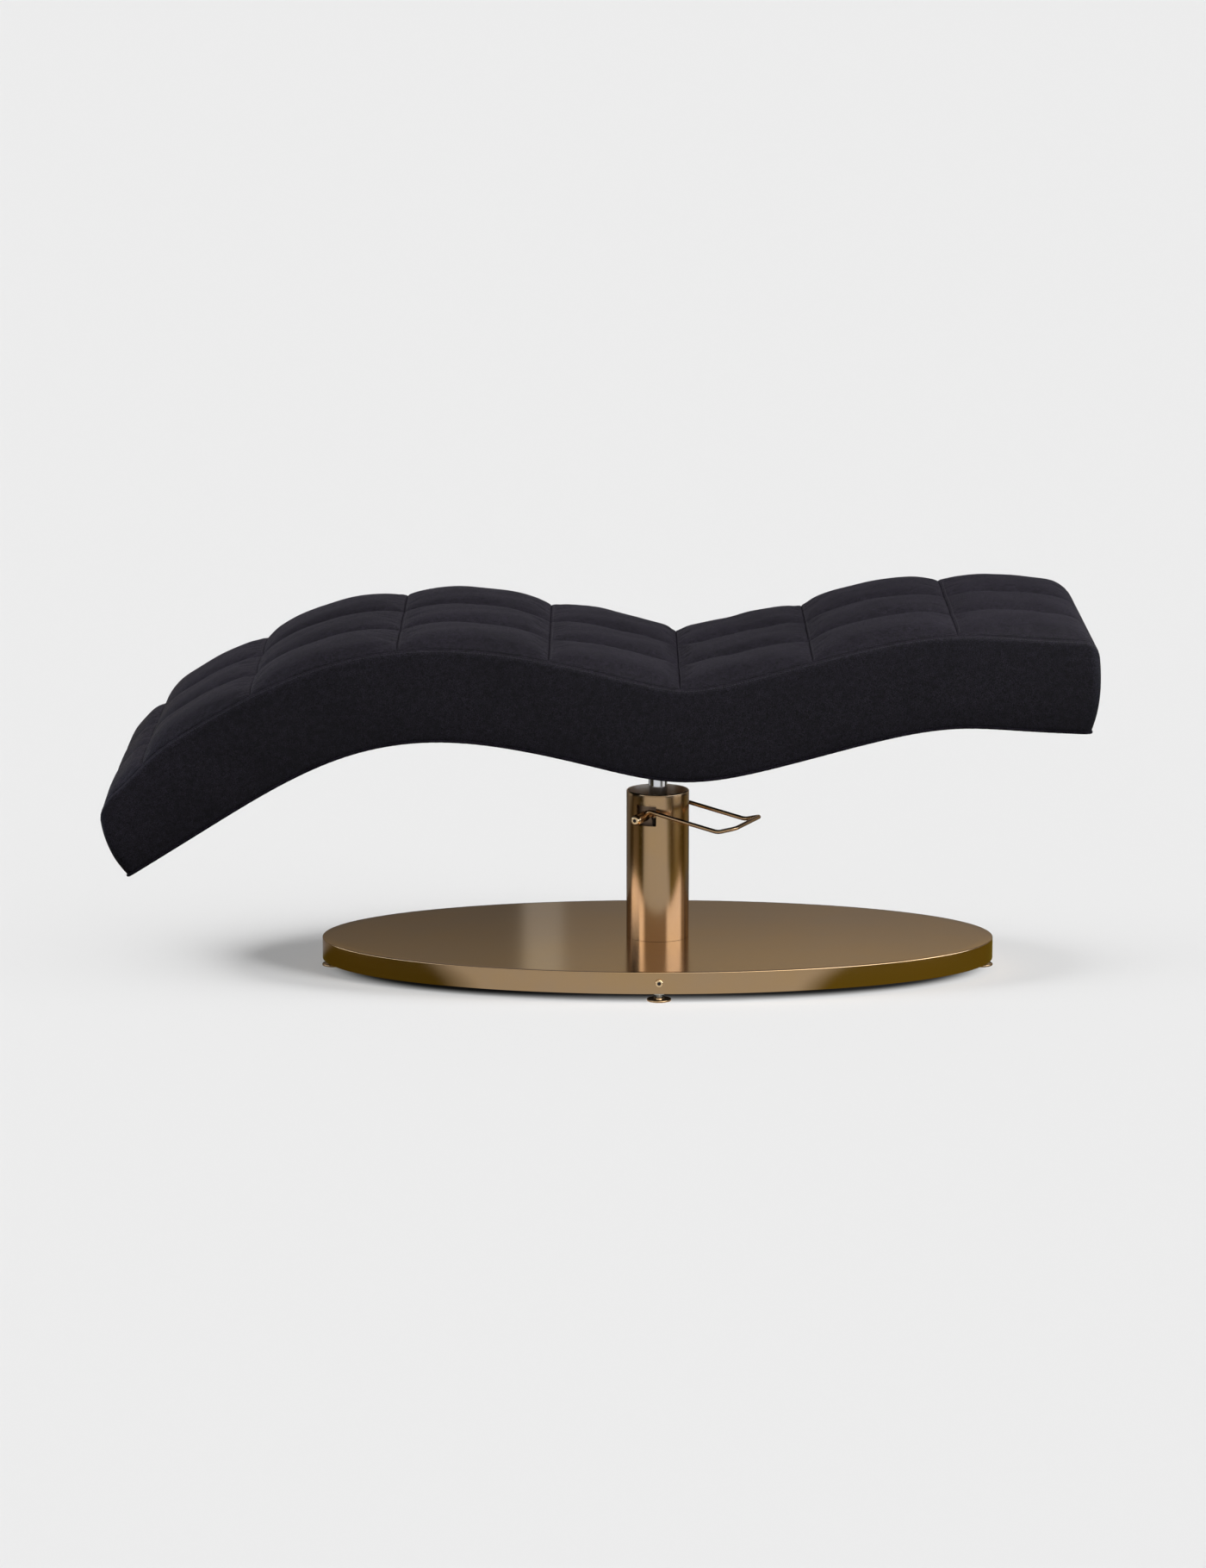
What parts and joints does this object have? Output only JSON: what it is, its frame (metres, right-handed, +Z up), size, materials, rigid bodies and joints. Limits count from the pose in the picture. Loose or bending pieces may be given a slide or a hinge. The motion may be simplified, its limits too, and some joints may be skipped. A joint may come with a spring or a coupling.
{
  "type": "eyelash extension bed",
  "caption": "Wave-shaped quilted black treatment lounge on a bronze hydraulic column with a pump lever, swivel and a low oval base on levelling feet.",
  "frame": {"origin": "on the floor, under the middle of the bed's length and width", "axes": "+X along the bed towards the raised head end, +Y across it away from the camera, +Z up; the column stands at X = 0.112"},
  "size_m": [1.8571, 0.666, 0.719],
  "materials": {
    "brushed_bronze": "satin",
    "black_leather": "satin",
    "hard_chrome": "polished",
    "pump_steel": "satin",
    "black_steel": "satin",
    "zinc_steel": "satin",
    "birch_ply": "matte",
    "foam": "matte",
    "black_cloth": "matte",
    "nitrile_rubber": "matte"
  },
  "bodies": {
    "base": {"base_cover": "brushed_bronze", "base_plate": "black_steel", "cover_ring": "black_steel", "screw_block_front": "black_steel", "screw_block_back": "black_steel", "rim_screw_front": "brushed_bronze", "rim_screw_back": "brushed_bronze", "foot_nut_front": "zinc_steel", "foot_nut_back": "zinc_steel", "foot_nut_left": "zinc_steel", "foot_nut_right": "zinc_steel", "pump_cylinder": "pump_steel", "flange_bolt_1": "zinc_steel", "flange_bolt_2": "zinc_steel", "flange_bolt_3": "zinc_steel", "flange_bolt_4": "zinc_steel", "pump_head": "pump_steel", "ram_wiper": "nitrile_rubber", "pivot_pin_near": "pump_steel", "pivot_pin_far": "pump_steel", "column_cover": "brushed_bronze", "column_cap": "brushed_bronze", "plunger_spring": "zinc_steel"},
    "lift_piston": {"piston": "pump_steel"},
    "bed": {"ram": "hard_chrome", "seat_hub": "black_steel", "mount_plate": "black_steel", "packing_block": "birch_ply", "mount_bolt_1": "zinc_steel", "mount_bolt_2": "zinc_steel", "mount_bolt_3": "zinc_steel", "mount_bolt_4": "zinc_steel", "plywood_deck": "birch_ply", "dust_cover": "black_cloth", "foam_core": "foam", "quilted_top": "black_leather", "side_band": "black_leather", "bottom_piping": "black_leather"},
    "pump_lever": {"lever_bail": "brushed_bronze", "lever_hub_near": "brushed_bronze", "lever_hub_far": "brushed_bronze", "lever_screw_near": "brushed_bronze", "lever_screw_far": "brushed_bronze"},
    "plunger": {"pump_plunger": "hard_chrome"},
    "foot_front": {"foot_pad_front": "brushed_bronze", "foot_stud_front": "zinc_steel"},
    "foot_back": {"foot_pad_back": "brushed_bronze", "foot_stud_back": "zinc_steel"},
    "foot_left": {"foot_pad_left": "brushed_bronze", "foot_stud_left": "zinc_steel"},
    "foot_right": {"foot_pad_right": "brushed_bronze", "foot_stud_right": "zinc_steel"}
  },
  "joints": [
    {"name": "lift", "type": "slide", "parent": "base", "child": "lift_piston", "axis": [0, 0, 1], "range_m": [0, 0.15]},
    {"name": "swivel", "type": "hinge", "parent": "lift_piston", "child": "bed", "pos_m": [0.112, 0, 0.4], "axis": [0, 0, 1], "continuous": true},
    {"name": "lever_press", "type": "hinge", "parent": "base", "child": "pump_lever", "pos_m": [0.112, 0, 0.3045], "axis": [0.3907, 0.9205, 0], "range_deg": [0, 25], "stiffness_Nm_per_rad": 0.8, "springref_deg": -34.38},
    {"name": "plunger_stroke", "type": "slide", "parent": "base", "child": "plunger", "axis": [0, 0, -1], "range_m": [0, 0.0056], "deforming": ["plunger_spring"]},
    {"name": "foot_level_front", "type": "slide", "parent": "base", "child": "foot_front", "axis": [0, 0, -1], "range_m": [0, 0.01]},
    {"name": "foot_level_back", "type": "slide", "parent": "base", "child": "foot_back", "axis": [0, 0, -1], "range_m": [0, 0.01]},
    {"name": "foot_level_left", "type": "slide", "parent": "base", "child": "foot_left", "axis": [0, 0, -1], "range_m": [0, 0.01]},
    {"name": "foot_level_right", "type": "slide", "parent": "base", "child": "foot_right", "axis": [0, 0, -1], "range_m": [0, 0.01]}
  ],
  "couplings": [
    {"joint": "plunger_stroke", "follows": "lever_press", "m_per_rad": 0.0125}
  ]
}
